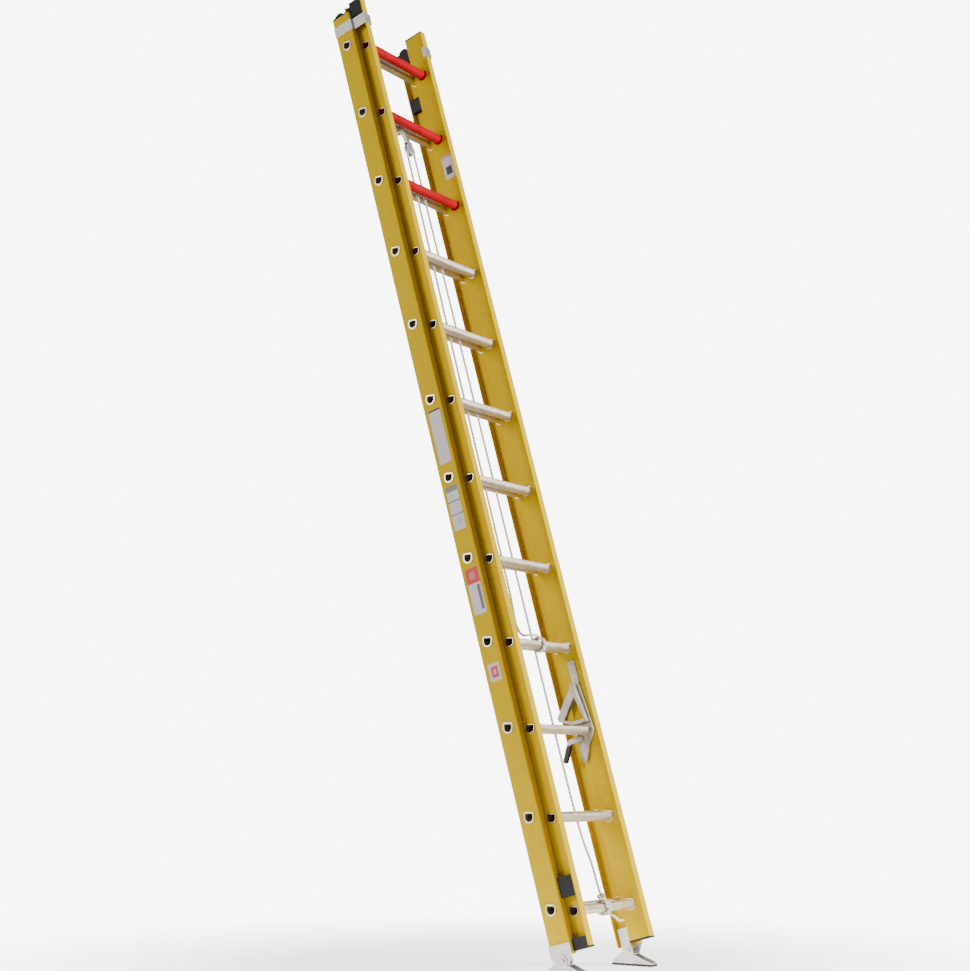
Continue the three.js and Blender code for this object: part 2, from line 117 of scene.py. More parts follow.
# shader kit
class Socket:
    def __init__(self, tree, link):
        self.tree = tree
        self.link = link

    def math(self, operation, other=None, flip=False):
        node = self.tree.nodes.new("ShaderNodeMath")
        node.operation = operation
        inputs = [self] if other is None else ([other, self] if flip else [self, other])
        for slot, value in zip(node.inputs, inputs):
            plug(self.tree, slot, value)
        return Socket(self.tree, node.outputs[0])

    def __add__(self, other):
        return self.math("ADD", other)

    def __radd__(self, other):
        return self.math("ADD", other, flip=True)

    def __sub__(self, other):
        return self.math("SUBTRACT", other)

    def __rsub__(self, other):
        return self.math("SUBTRACT", other, flip=True)

    def __mul__(self, other):
        return self.math("MULTIPLY", other)

    def __rmul__(self, other):
        return self.math("MULTIPLY", other, flip=True)

    def __truediv__(self, other):
        return self.math("DIVIDE", other)

    def above(self, level):
        return self.math("GREATER_THAN", level)

    def below(self, level):
        return self.math("LESS_THAN", level)


def plug(tree, slot, value):
    if isinstance(value, Socket):
        tree.links.new(value.link, slot)
    elif isinstance(value, (tuple, list)) and len(value) == 3 and slot.type == "RGBA":
        slot.default_value = (*value, 1)
    else:
        slot.default_value = value


class Finish:
    def __init__(self, name):
        self.material = bpy.data.materials.new(name)
        self.material.use_nodes = True
        self.tree = self.material.node_tree
        self.shader = next(n for n in self.tree.nodes if n.type == "BSDF_PRINCIPLED")

    def node(self, kind, settings=None, output=0, **values):
        made = self.tree.nodes.new(kind)
        for key, value in (settings or {}).items():
            if key == "stops":
                ramp = made.color_ramp
                while len(ramp.elements) < len(value):
                    ramp.elements.new(0.5)
                for element, (position, colour) in zip(ramp.elements, value):
                    element.position = position
                    element.color = (*colour, 1)
            else:
                setattr(made, key, value)
        for key, value in values.items():
            slots = [s for s in made.inputs if s.name.replace(" ", "") == key and s.enabled]
            plug(self.tree, slots[0], value)
        return Socket(self.tree, made.outputs[output])

    def place(self, scale=(1, 1, 1), uv=False):
        coords = self.node("ShaderNodeTexCoord", output=2 if uv else 3)
        return self.node("ShaderNodeMapping", Vector=coords, Scale=scale)

    def leaned(self, scale=(1, 1, 1)):  # object coordinates turned to the ladder frame
        coords = self.node("ShaderNodeTexCoord", output=3)
        turned = self.node("ShaderNodeMapping", Vector=coords, Rotation=(leanAngle, 0, 0))
        return self.node("ShaderNodeMapping", Vector=turned, Scale=scale)

    def ladderPoint(self):  # object coordinates measured in the ladder frame, in metres
        coords = self.node("ShaderNodeTexCoord", output=3)
        back = Matrix.Rotation(leanAngle, 3, "X") @ Vector((0, footprintShift, boltHeight))
        point = self.node("ShaderNodeMapping", Vector=coords, Rotation=(leanAngle, 0, 0),
                          Location=tuple(-back))
        parts = self.node("ShaderNodeSeparateXYZ", Vector=point)
        return [Socket(self.tree, out) for out in parts.link.node.outputs]

    def noise(self, scale, detail=3, vector=None, roughness=0.5):
        return self.node("ShaderNodeTexNoise", Vector=vector or self.place(), Scale=scale,
                         Detail=detail, Roughness=roughness)

    def ramp(self, factor, stops):
        return self.node("ShaderNodeValToRGB", {"stops": stops}, Fac=factor)

    def mix(self, factor, a, b):
        made = self.tree.nodes.new("ShaderNodeMix")
        made.data_type = "RGBA"
        made.blend_type = "MIX"
        for slot, value in zip([s for s in made.inputs if s.enabled], (factor, a, b)):
            plug(self.tree, slot, value)
        return Socket(self.tree, [s for s in made.outputs if s.enabled][0])

    def remap(self, value, low, high, newLow, newHigh):
        made = self.tree.nodes.new("ShaderNodeMapRange")
        for slot, setting in zip(made.inputs, (value, low, high, newLow, newHigh)):
            plug(self.tree, slot, setting)
        return Socket(self.tree, made.outputs[0])

    def bump(self, height, strength=0.3, distance=0.001, under=None):
        made = self.tree.nodes.new("ShaderNodeBump")
        made.inputs["Strength"].default_value = strength
        made.inputs["Distance"].default_value = distance
        plug(self.tree, made.inputs["Height"], height)
        if under is not None:
            plug(self.tree, made.inputs["Normal"], under)
        return Socket(self.tree, made.outputs[0])

    def set(self, **values):
        for key, value in values.items():
            name = {"colour": "Base Color", "roughness": "Roughness", "metallic": "Metallic",
                    "normal": "Normal", "coat": "Coat Weight", "coatRoughness": "Coat Roughness",
                    "specular": "Specular IOR Level", "tint": "Specular Tint", "alpha": "Alpha",
                    "sheen": "Sheen Weight"}[key]
            plug(self.tree, self.shader.inputs[name], value)
        return self.material


def fibreglassFinish(name, deep, bright):
    f = Finish(name)
    fibres = f.noise(1, 4, f.leaned((900, 900, 9)), 0.6)  # glass strands drawn along the rail
    veil = f.noise(14, 4, f.leaned((6, 6, 1.5)))
    clouds = f.noise(2.2, 3, f.leaned((1, 1, 0.35)))
    tone = f.ramp(0.55 * veil + 0.45 * clouds, [(0.3, deep), (0.7, bright)])
    streaked = f.mix(f.remap(fibres, 0.42, 0.75, 0, 0.14), tone, (0.86, 0.6, 0.002))
    scuffs = f.noise(60, 5, f.leaned((1, 1, 0.12)), 0.7)
    dirt = f.remap(scuffs, 0.62, 0.8, 0, 0.22)
    colour = f.mix(dirt, streaked, (0.34, 0.19, 0.001))
    rough = 0.4 + 0.2 * veil + 0.25 * dirt
    relief = f.bump(fibres, 0.18, 0.0004)
    return f.set(colour=colour, roughness=rough, normal=f.bump(veil, 0.12, 0.001, relief),
                 specular=0.18, tint=(1, 0.72, 0.02))


def aluminiumFinish(name, dark, light, along="x"):
    f = Finish(name)
    stretch = {"x": (4, 700, 700), "z": (700, 700, 4)}[along]
    drawn = f.noise(1, 3, f.leaned(stretch), 0.6)
    cloud = f.noise(35, 4, f.leaned((1, 3, 3)))
    pits = f.noise(420, 2, f.leaned())
    colour = f.ramp(0.5 * drawn + 0.5 * cloud, [(0.3, dark), (0.7, light)])
    grime = f.remap(f.noise(22, 5, f.leaned(), 0.7), 0.58, 0.8, 0, 0.35)
    colour = f.mix(grime, colour, (0.22, 0.2, 0.18))
    relief = f.bump(drawn, 0.2, 0.0003)
    return f.set(colour=colour, metallic=1 - 0.5 * grime, roughness=0.36 + 0.16 * cloud + 0.25 * grime,
                 normal=f.bump(pits, 0.1, 0.0003, relief))


def redFinish():
    f = Finish("redCoating")
    peel = f.noise(380, 2)
    cloud = f.noise(16, 4)
    scuff = f.remap(f.noise(70, 5, f.leaned((0.2, 1, 1)), 0.7), 0.62, 0.76, 0, 0.5)
    colour = f.ramp(cloud, [(0.3, (0.3, 0.0002, 0.005)), (0.7, (0.42, 0.0004, 0.009))])
    colour = f.mix(0.4 * scuff, colour, (0.5, 0.02, 0.03))
    return f.set(colour=colour, roughness=0.38 + 0.25 * scuff + 0.1 * cloud,
                 normal=f.bump(peel, 0.12, 0.0003), specular=0.2, tint=(1, 0.2, 0.2))


def castFinish():
    f = Finish("castMetal")
    grain = f.noise(650, 3)
    cloud = f.noise(30, 4)
    colour = f.ramp(cloud, [(0.3, (0.34, 0.3, 0.25)), (0.7, (0.55, 0.5, 0.42))])
    return f.set(colour=colour, metallic=0.6, roughness=0.45 + 0.2 * cloud,
                 normal=f.bump(grain, 0.35, 0.0004))


def zincFinish():
    f = Finish("zincSteel")
    spangle = f.node("ShaderNodeTexVoronoi", Vector=f.place(), Scale=180)
    cloud = f.noise(40, 4)
    grime = f.remap(f.noise(18, 5), 0.55, 0.8, 0, 0.5)
    colour = f.ramp(0.2 * spangle + 0.8 * cloud, [(0.25, (0.5, 0.48, 0.45)), (0.75, (0.74, 0.71, 0.67))])
    colour = f.mix(grime, colour, (0.2, 0.17, 0.14))
    return f.set(colour=colour, metallic=1 - 0.4 * grime, roughness=0.34 + 0.2 * cloud + 0.2 * grime,
                 normal=f.bump(cloud, 0.1, 0.0005))


def plasticFinish(name, dark, light, rough=0.5):
    f = Finish(name)
    grain = f.noise(900, 2)
    cloud = f.noise(24, 4)
    dust = f.remap(f.noise(45, 5, None, 0.7), 0.58, 0.82, 0, 0.12)
    colour = f.mix(dust, f.ramp(cloud, [(0.3, dark), (0.7, light)]), (0.12, 0.11, 0.1))
    return f.set(colour=colour, roughness=rough + 0.2 * dust + 0.08 * cloud,
                 normal=f.bump(grain, 0.2, 0.0002), specular=0.3)


def rubberFinish():
    f = Finish("padRubber")
    grain = f.noise(500, 4, None, 0.7)
    cloud = f.noise(30, 4)
    dust = f.remap(cloud, 0.45, 0.75, 0, 0.5)
    colour = f.mix(dust, (0.013, 0.013, 0.014), (0.07, 0.065, 0.06))
    return f.set(colour=colour, roughness=0.72 + 0.2 * grain, normal=f.bump(grain, 0.5, 0.0005))


def ropeFinish():
    f = Finish("ropeFibre")
    uv = f.place((1, 1, 1), uv=True)
    parts = f.node("ShaderNodeSeparateXYZ", Vector=uv)
    around = Socket(f.tree, parts.link)
    lengthways = Socket(f.tree, parts.link.node.outputs[1])
    lay = (3 * around + 70 * lengthways) * (2 * math.pi)
    strands = lay.math("SINE")
    hairs = f.noise(1, 4, f.place((40, 2400, 1), uv=True), 0.7)
    grime = f.noise(20, 4)
    # painted shade: the rope colour darkens where the strand wave is low, in the grooves between the strands;
    # the hairs add real fibre tone
    grooveShadeAndHairs = 0.5 + 0.35 * strands + 0.3 * (hairs - 0.5)
    colour = f.ramp(grooveShadeAndHairs, [(0.1, (0.4, 0.35, 0.27)), (0.6, (0.86, 0.82, 0.74))])
    colour = f.mix(f.remap(grime, 0.55, 0.8, 0, 0.35), colour, (0.42, 0.35, 0.25))
    relief = f.bump(strands, 0.6, 0.0012)
    return f.set(colour=colour, roughness=0.85, normal=f.bump(hairs, 0.3, 0.0004, relief), sheen=0.15)


def fingerFinish():
    f = Finish("fingerTwoTone")
    height = f.ladderPoint()[2]
    tip = height.below(flyRungZ(2) - 0.036)
    grain = f.noise(650, 3)
    cloud = f.noise(30, 4)
    metal = f.ramp(cloud, [(0.3, (0.4, 0.36, 0.3)), (0.7, (0.6, 0.55, 0.47))])
    colour = f.mix(tip, metal, (0.008, 0.008, 0.009))
    return f.set(colour=colour, metallic=0.85 - 0.85 * tip, roughness=0.5 + 0.15 * cloud,
                 normal=f.bump(grain, 0.3, 0.0003))


finish = {
    "fibreglass": fibreglassFinish("fibreglass", (0.52, 0.33, 0.0006), (0.64, 0.42, 0.001)),
    "rung": aluminiumFinish("rungAluminium", (0.56, 0.47, 0.34), (0.84, 0.73, 0.56)),
    "bracket": aluminiumFinish("bracketAluminium", (0.55, 0.52, 0.47), (0.78, 0.75, 0.7), "z"),
    "red": redFinish(),
    "cast": castFinish(),
    "zinc": zincFinish(),
    "black": plasticFinish("blackPlastic", (0.004, 0.004, 0.0045), (0.012, 0.012, 0.013)),
    "finger": fingerFinish(),
    "nylon": plasticFinish("sheaveNylon", (0.28, 0.28, 0.28), (0.42, 0.42, 0.41), 0.42),
    "rubber": rubberFinish(),
    "rope": ropeFinish(),
    "rivet": aluminiumFinish("rivetAluminium", (0.6, 0.57, 0.52), (0.82, 0.79, 0.74)),
}
print("finishes made:", len(finish))


# modelling helpers
def deselectAll():
    for obj in bpy.context.selected_objects:
        obj.select_set(False)


def activate(obj):
    deselectAll()
    obj.select_set(True)
    bpy.context.view_layer.objects.active = obj


def startCube(name, low, high):
    deselectAll()
    centre = [(a + b) / 2 for a, b in zip(low, high)]
    size = [b - a for a, b in zip(low, high)]
    bpy.ops.mesh.primitive_cube_add(size=1, location=centre)
    obj = bpy.context.active_object
    obj.name = name
    obj.scale = size
    bpy.ops.object.transform_apply(location=True, rotation=True, scale=True)
    return obj


def pickEdges(obj, test):
    # leaves obj in edit mode with the edges chosen whose two ends pass the test
    activate(obj)
    bpy.ops.object.mode_set(mode="EDIT")
    bpy.ops.mesh.select_mode(type="EDGE")
    bpy.ops.mesh.select_all(action="DESELECT")
    mesh = bmesh.from_edit_mesh(obj.data)
    for edge in mesh.edges:
        edge.select = test(*(v.co for v in edge.verts))
    bmesh.update_edit_mesh(obj.data)


def pickFaces(obj, test):
    activate(obj)
    bpy.ops.object.mode_set(mode="EDIT")
    bpy.ops.mesh.select_mode(type="FACE")
    bpy.ops.mesh.select_all(action="DESELECT")
    mesh = bmesh.from_edit_mesh(obj.data)
    mesh.normal_update()
    for face in mesh.faces:
        face.select = test(face.normal, face.calc_center_median())
    bmesh.update_edit_mesh(obj.data)


def leaveEdit():
    bpy.ops.object.mode_set(mode="OBJECT")


def applyModifier(obj, kind, **settings):
    activate(obj)
    made = obj.modifiers.new(kind.lower(), kind)
    for key, value in settings.items():
        setattr(made, key, value)
    bpy.ops.object.modifier_apply(modifier=made.name)


def softenEdges(obj, width=0.0006, segments=2, angle=30):
    applyModifier(obj, "BEVEL", width=width, segments=segments, limit_method="ANGLE",
                  angle_limit=math.radians(angle), harden_normals=False)


def joinAll(name, parts):
    activate(parts[0])
    for part in parts[1:]:
        part.select_set(True)
    if len(parts) > 1:
        bpy.ops.object.join()
    joined = bpy.context.active_object
    joined.name = name
    return joined


def finishPiece(obj, material, body, *nodes, smooth=35, matrix=None, endMaterial=None, endFrom=0.0):
    if matrix is not None:
        obj.data.transform(matrix)
    if matrix is not None and matrix.determinant() < 0:
        obj.data.flip_normals()
    activate(obj)
    bpy.ops.object.shade_smooth_by_angle(angle=math.radians(smooth))
    obj.data.materials.clear()
    obj.data.materials.append(material)
    if endMaterial is not None:
        obj.data.materials.append(endMaterial)
        for poly in obj.data.polygons:
            if abs(poly.center.x) > endFrom:
                poly.material_index = 1
    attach(obj, body)
    if nodes:
        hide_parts(*nodes)
    return obj


def copyOf(obj, name):
    twin = obj.copy()
    twin.data = obj.data.copy()
    twin.name = name
    bpy.context.scene.collection.objects.link(twin)
    return twin


mirrorX = Matrix.Scale(-1, 4, (1, 0, 0))

# rungs
rungSize = {
    "halfWidth": 0.0168,
    "top": 0.0138,
    "belly": 0.017,
    "wall": 0.002,
    "bead": 0.004,
    "beadLength": 0.0027,
    "ribs": 5,
}


def bluntD(name, x0, x1, grow=0.0, roundTop=0.005):
    # a D-shaped bar along x: flat on top, round underneath
    w = rungSize["halfWidth"] + grow
    top, low = rungSize["top"] + grow, -rungSize["belly"] - grow
    bar = startCube(name, (x0, -w, low), (x1, w, top))
    pickEdges(bar, lambda a, b: abs(a.x - b.x) > 1e-5 and a.z < 0 and b.z < 0)
    bpy.ops.mesh.bevel(offset=w * 0.985, segments=8, affect="EDGES", clamp_overlap=True)
    leaveEdit()
    pickEdges(bar, lambda a, b: abs(a.x - b.x) > 1e-5 and a.z > top - 1e-5 and b.z > top - 1e-5)
    bpy.ops.mesh.bevel(offset=roundTop, segments=3, affect="EDGES")
    leaveEdit()
    return bar


def openTube(bar, wall, inwards=True):
    pickFaces(bar, lambda n, c: abs(n.x) > 0.9)
    bpy.ops.mesh.delete(type="FACE")
    leaveEdit()
    applyModifier(bar, "SOLIDIFY", thickness=wall, offset=-1 if inwards else 1, use_even_offset=True)


def makeRung(name, web, beadFaces):
    ends = web + 0.003
    tube = bluntD(name, -ends, ends)
    openTube(tube, rungSize["wall"])
    for cut in (-web + 0.001, web - 0.001):
        activate(tube)
        bpy.ops.object.mode_set(mode="EDIT")
        bpy.ops.mesh.select_all(action="SELECT")
        bpy.ops.mesh.bisect(plane_co=(cut, 0, 0), plane_no=(1, 0, 0))
        leaveEdit()
    parts = [tube]
    for start in beadFaces:
        for side in (-1, 1):
            x0, x1 = sorted((side * start, side * (start + rungSize["beadLength"])))
            ring = bluntD(name + "Bead", x0, x1, -0.0003, 0.005)
            openTube(ring, rungSize["bead"] + 0.0003, inwards=False)
            softenEdges(ring, 0.0009, 2, 50)
            parts.append(ring)
    span = 0.0105
    ribStart = ladder["flyWeb"] - ladder["wall"] - 0.006 if web < 0.2 else web - ladder["wall"] - 0.006
    for i in range(rungSize["ribs"]):
        y = -span + 2 * span * i / (rungSize["ribs"] - 1)
        rib = startCube(name + "Rib", (-ribStart, y - 0.0009, rungSize["top"] - 0.0004),
                        (ribStart, y + 0.0009, rungSize["top"] + 0.0006))
        pickEdges(rib, lambda a, b: abs(a.x - b.x) > 1e-5 and a.z > rungSize["top"] and b.z > rungSize["top"])
        bpy.ops.mesh.bevel(offset=0.0004, segments=1, affect="EDGES")
        leaveEdit()
        parts.append(rib)
    return joinAll(name, parts)


def placeRungs():
    wall = ladder["wall"]
    baseBeads = (ladder["baseWeb"] + 0.0003, ladder["baseWeb"] - wall - 0.003)
    baseRung = makeRung("baseRung", ladder["baseWeb"], baseBeads)
    flyRung = makeRung("flyRung", ladder["flyWeb"], (ladder["flyWeb"] - wall - 0.003,))
    for i in range(ladder["rungs"]):
        at = up(0, 0, baseRungZ(i))
        finishPiece(copyOf(baseRung, f"baseRung_{i + 1}"), finish["rung"], "base_section",
                    f"base_rung_{i + 1}", matrix=Matrix.Translation(at))
        at = up(0, ladder["flyY"], flyRungZ(i))
        red = i >= ladder["rungs"] - 3
        finishPiece(copyOf(flyRung, f"flyRung_{i + 1}"), finish["red" if red else "rung"], "fly_section",
                    f"fly_rung_{i + 1}", matrix=Matrix.Translation(at),
                    endMaterial=finish["rung"] if red else None, endFrom=ladder["flyWeb"])
    bpy.data.objects.remove(baseRung)
    bpy.data.objects.remove(flyRung)
    print("rungs placed")


placeRungs()

# rails
railSize = {
    "base": {"back": 0.224, "opens": -1, "flange": 0.0285, "y": 0.0, "low": 0.015, "high": 3.651},
    "fly": {"back": 0.18, "opens": 1, "flange": 0.0327, "y": -0.0605, "low": 0.028, "high": 3.6856},
    "outerRound": 0.004,
    "innerRound": 0.0035,
}


def makeRail(name, size, firstRung):
    half, wall = ladder["depth"] / 2, ladder["wall"]
    back, tip = size["back"], size["back"] + size["opens"] * size["flange"]
    low = (min(back, tip), size["y"] - half, size["low"] - 0.02)
    high = (max(back, tip), size["y"] + half, size["high"] + 0.02)
    rail = startCube(name, low, high)
    pickFaces(rail, lambda n, c: n.x * size["opens"] > 0.9)
    bpy.ops.mesh.inset(thickness=wall, depth=0)
    hollow = -size["opens"] * (size["flange"] - wall)
    bpy.ops.mesh.extrude_region_move(TRANSFORM_OT_translate={"value": (hollow, 0, 0)})
    leaveEdit()
    for level, clearIn, clearOut in ((size["low"], True, False), (size["high"], False, True)):
        activate(rail)
        bpy.ops.object.mode_set(mode="EDIT")
        bpy.ops.mesh.select_all(action="SELECT")
        bpy.ops.mesh.bisect(plane_co=(0, 0, level), plane_no=(0, 0, 1), use_fill=True, clear_inner=clearIn,
                            clear_outer=clearOut)
        leaveEdit()

    def lengthwise(a, b):
        return abs(a.z - b.z) > 1

    pickEdges(rail, lambda a, b: lengthwise(a, b) and abs(a.x - back) < 1e-4)
    bpy.ops.mesh.bevel(offset=railSize["outerRound"], segments=4, affect="EDGES")
    leaveEdit()
    inner = back + size["opens"] * wall
    pickEdges(rail, lambda a, b: lengthwise(a, b) and abs(a.x - inner) < 1e-4
              and abs(abs(a.y - size["y"]) - half + wall) < 1e-4)
    bpy.ops.mesh.bevel(offset=railSize["innerRound"], segments=3, affect="EDGES")
    leaveEdit()
    pickEdges(rail, lambda a, b: lengthwise(a, b) and abs(a.x - tip) < 1e-4)
    bpy.ops.mesh.bevel(offset=0.0014, segments=2, affect="EDGES")
    leaveEdit()
    cutters = []
    for i in range(ladder["rungs"]):
        bar = bluntD("cutter", back - 0.012, back + 0.012, 0.0004)
        bar.data.transform(Matrix.Translation((0, size["y"], firstRung + i * ladder["pitch"])) @
                           Matrix.Rotation(leanAngle, 4, "X"))
        cutters.append(bar)
    tool = joinAll("cutter", cutters)
    applyModifier(rail, "BOOLEAN", object=tool, operation="DIFFERENCE", solver="EXACT")
    bpy.data.objects.remove(tool)
    return rail


def placeRails():
    for section, firstRung in (("base", ladder["baseFirst"]), ("fly", ladder["flyFirst"])):
        rail = makeRail(section + "RailRight", railSize[section], firstRung)
        twin = copyOf(rail, section + "RailLeft")
        body = section + "_section"
        finishPiece(rail, finish["fibreglass"], body, f"{section}_rail_right", matrix=leanMatrix, smooth=40)
        finishPiece(twin, finish["fibreglass"], body, f"{section}_rail_left",
                    matrix=leanMatrix @ mirrorX, smooth=40)
    print("rails placed")


placeRails()

# small CAD pieces keep their shape and get rounded edges and a finish
carried = {
    "black": ["fly_top_cap", "fly_bottom_cap", "base_top_cap", "fly_guide_block", "base_guide_block"],
    "finger": ["lock_finger"],
    "zinc": ["foot_bracket", "shoe_bolt", "shoe"],
    "rubber": ["shoe_pad"],
    "bracket": ["guide_bracket"],
    "cast": ["lock_frame", "lock_latch"],
}
roundings = {
    "black": 0.0015,
    "finger": 0.0012,
    "zinc": 0.0006,
    "rubber": 0.001,
    "bracket": 0.0007,
    "cast": 0.0016,
}


def dressNode(node, material, width):
    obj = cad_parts[node]
    obj.data.materials.clear()
    obj.data.materials.append(material)
    weld = obj.modifiers.new("weld", "WELD")
    weld.merge_threshold = 0.00002
    bevel = obj.modifiers.new("bevel", "BEVEL")
    bevel.width = width
    bevel.segments = 2
    bevel.limit_method = "ANGLE"
    bevel.angle_limit = math.radians(35)


def dressNodes():
    for kind, names in carried.items():
        for name in names:
            for side in ("left", "right"):
                dressNode(f"{name}_{side}", finish[kind], roundings[kind])
    dressNode("pulley_hanger", finish["zinc"], 0.0006)
    dressNode("pulley_axle", finish["zinc"], 0.0005)
    dressNode("pulley_sheave", finish["nylon"], 0.0005)
    print("small pieces dressed")


dressNodes()

# labels, plain shapes only
labels = {
    "longLabel": {"side": -1, "x": 0.2242, "y": (-0.0275, 0.0235), "z": (1.742, 1.95),
     "ground": (0.6, 0.56, 0.57),
                  "band": (0.05, 0.05, 0.05), "from": 0.968, "to": 1.0, "marks": []},
    "gridLabel": {"side": -1, "x": 0.2242, "y": (-0.0235, 0.0265), "z": (1.49, 1.655),
     "ground": (0.62, 0.58, 0.57),
                  "band": (0.2, 0.21, 0.2), "from": 0.87, "to": 1.0,
                  "marks": [(0, 1, 0.635, 0.66, (0.1, 0.09, 0.09)), (0, 1, 0.335, 0.36, (0.1, 0.09, 0.09)),
                            (0.25, 0.55, 0.1, 0.25, (0.45, 0.42, 0.42))]},
    "signLabel": {"side": -1, "x": 0.2242, "y": (-0.0265, 0.0265), "z": (1.178, 1.343),
     "ground": (0.62, 0.56, 0.58),
                  "band": (0.6, 0.045, 0.06), "from": 0.67, "to": 1.0,
                  "marks": [(0.3, 0.72, 0.76, 0.92, (0.62, 0.2, 0.2)),
                            (0.1, 0.32, 0.08, 0.62, (0.12, 0.09, 0.1))]},
    "smallLabel": {"side": -1, "x": 0.2242, "y": (-0.024, 0.024), "z": (0.937, 1.0),
     "ground": (0.62, 0.53, 0.47),
                   "band": (0.5, 0.08, 0.09), "from": 0.2, "to": 0.8,
                   "marks": [(0.0, 0.2, 0.0, 1.0, (0.62, 0.53, 0.47)),
                             (0.78, 1, 0.0, 1.0, (0.62, 0.53, 0.47)),
                             (0.38, 0.6, 0.36, 0.64, (0.6, 0.4, 0.36))]},
    "flyLabel": {"side": 1, "x": 0.1798, "y": (-0.1, -0.051), "z": (3.008, 3.112),
     "ground": (0.62, 0.58, 0.58),
                 "band": (0.55, 0.3, 0.32), "from": 0.9, "to": 1.0,
                 "marks": [(0.2, 0.78, 0.18, 0.52, (0.01, 0.01, 0.01))]},
}


def labelFinish(name, size):
    f = Finish(name)
    across, along = f.ladderPoint()[1:]
    u = (across - size["y"][0]) / (size["y"][1] - size["y"][0])
    v = (along - size["z"][0]) / (size["z"][1] - size["z"][0])
    fade = f.noise(60, 4)
    colour = f.mix(f.remap(fade, 0.4, 0.75, 0, 0.3), size["ground"], (0.5, 0.45, 0.42))
    colour = f.mix(v.above(size["from"]) * v.below(size["to"]), colour, size["band"])
    for low, high, bottom, top, ink in size["marks"]:
        inside = u.above(low) * u.below(high) * v.above(bottom) * v.below(top)
        colour = f.mix(inside * 0.92, colour, ink)
    wear = f.remap(f.noise(160, 5, None, 0.7), 0.64, 0.78, 0, 0.5)
    colour = f.mix(wear, colour, (0.56, 0.4, 0.06))
    return f.set(colour=colour, roughness=0.5 + 0.2 * fade, specular=0.3)


def placeLabels():
    for name, size in labels.items():
        x = size["x"] * size["side"]
        thick = 0.00025
        outward = -1
        sheet = startCube(name, (min(x, x + outward * thick), size["y"][0], size["z"][0]),
                          (max(x, x + outward * thick), size["y"][1], size["z"][1]))
        pickEdges(sheet, lambda a, b: abs(a.x - b.x) > 1e-5)
        bpy.ops.mesh.bevel(offset=0.004, segments=4, affect="EDGES")
        leaveEdit()
        body = "base_section" if abs(x) > 0.2 else "fly_section"
        sheet = finishPiece(sheet, labelFinish(name + "Print", size), body, matrix=leanMatrix)
    print("labels placed")


# rivets
rivetSize = {"radius": 0.0042, "height": 0.0017}
rivetRows = {
    "base_section": [(0.2268, y, z, 1) for z in (3.579, 3.607) for y in (-0.026, 0.0, 0.026)]
    + [(0.2273, -0.03, 0.044, 1), (0.2273, 0.0, 0.046, 1), (0.1953, 0.006, 0.062, -1)],
    "fly_section": [(0.1756, -0.0655, z, -1) for z in (0.955, 0.985)],
}


def placeRivets():
    for body, spots in rivetRows.items():
        heads = []
        for x, y, z, outward in spots:
            for side in (-1, 1):
                deselectAll()
                bpy.ops.mesh.primitive_uv_sphere_add(segments=16, ring_count=8, radius=1, location=(0, 0, 0))
                head = bpy.context.active_object
                activate(head)
                bpy.ops.object.mode_set(mode="EDIT")
                bpy.ops.mesh.select_all(action="SELECT")
                bpy.ops.mesh.bisect(plane_co=(0, 0, 0), plane_no=(1, 0, 0), clear_inner=True, use_fill=True)
                leaveEdit()
                radius = rivetSize["radius"]
                squeeze = Matrix.Diagonal((rivetSize["height"] * outward, radius, radius, 1))
                head.data.transform(Matrix.Translation((x, y, z)) @ squeeze)
                if outward < 0:
                    head.data.flip_normals()
                if side < 0:
                    head.data.transform(mirrorX)
                    head.data.flip_normals()
                heads.append(head)
        rivets = joinAll(body + "Rivets", heads)
        finishPiece(rivets, finish["rivet"], body, matrix=leanMatrix, smooth=60)
    print("rivets placed")


# raised rim on each rung lock's lower leg
lockRim = {
    "outline": [(-0.091, 0.016), (-0.093, 0.0), (-0.088, -0.016), (-0.060, -0.054), (-0.040, -0.102),
                (-0.030, -0.109), (-0.021, -0.102), (-0.021, -0.054), (-0.022, 0.012)],
    "level": 0.7543,
    "x": 0.1711,
    "width": 0.0032,
    "height": 0.0019,
}


def placeLockRims():
    deselectAll()
    outline = lockRim["outline"]
    bpy.ops.mesh.primitive_circle_add(vertices=len(outline), radius=1, fill_type="NGON", location=(0, 0, 0))
    rim = bpy.context.active_object
    rim.name = "lockRimRight"
    for vertex, (y, z) in zip(rim.data.vertices, outline):
        vertex.co = (lockRim["x"], y, z + lockRim["level"])
    activate(rim)
    bpy.ops.object.mode_set(mode="EDIT")
    bpy.ops.mesh.select_all(action="SELECT")
    bpy.ops.mesh.inset(thickness=lockRim["width"], depth=0)
    bpy.ops.mesh.delete(type="FACE")
    bpy.ops.mesh.select_all(action="SELECT")
    bpy.ops.mesh.extrude_region_move(TRANSFORM_OT_translate={"value": (-lockRim["height"], 0, 0)})
    bpy.ops.mesh.select_all(action="SELECT")
    bpy.ops.mesh.normals_make_consistent(inside=False)
    leaveEdit()
    softenEdges(rim, 0.0005, 2, 40)
    twin = copyOf(rim, "lockRimLeft")
    finishPiece(rim, finish["cast"], "fly_section", matrix=leanMatrix)
    finishPiece(twin, finish["cast"], "fly_section", matrix=leanMatrix @ mirrorX)
    print("lock rims placed")


placeLabels()
placeRivets()
placeLockRims()

# rope
ropeSize = {
    "radius": 0.0046,
    "sides": 12,
    "strandDepth": 0.0007,
    "layLength": 0.0143,
    "ringStep": 0.0034,
    "coilRadius": 0.0238,
    "coilSteps": 18,
}


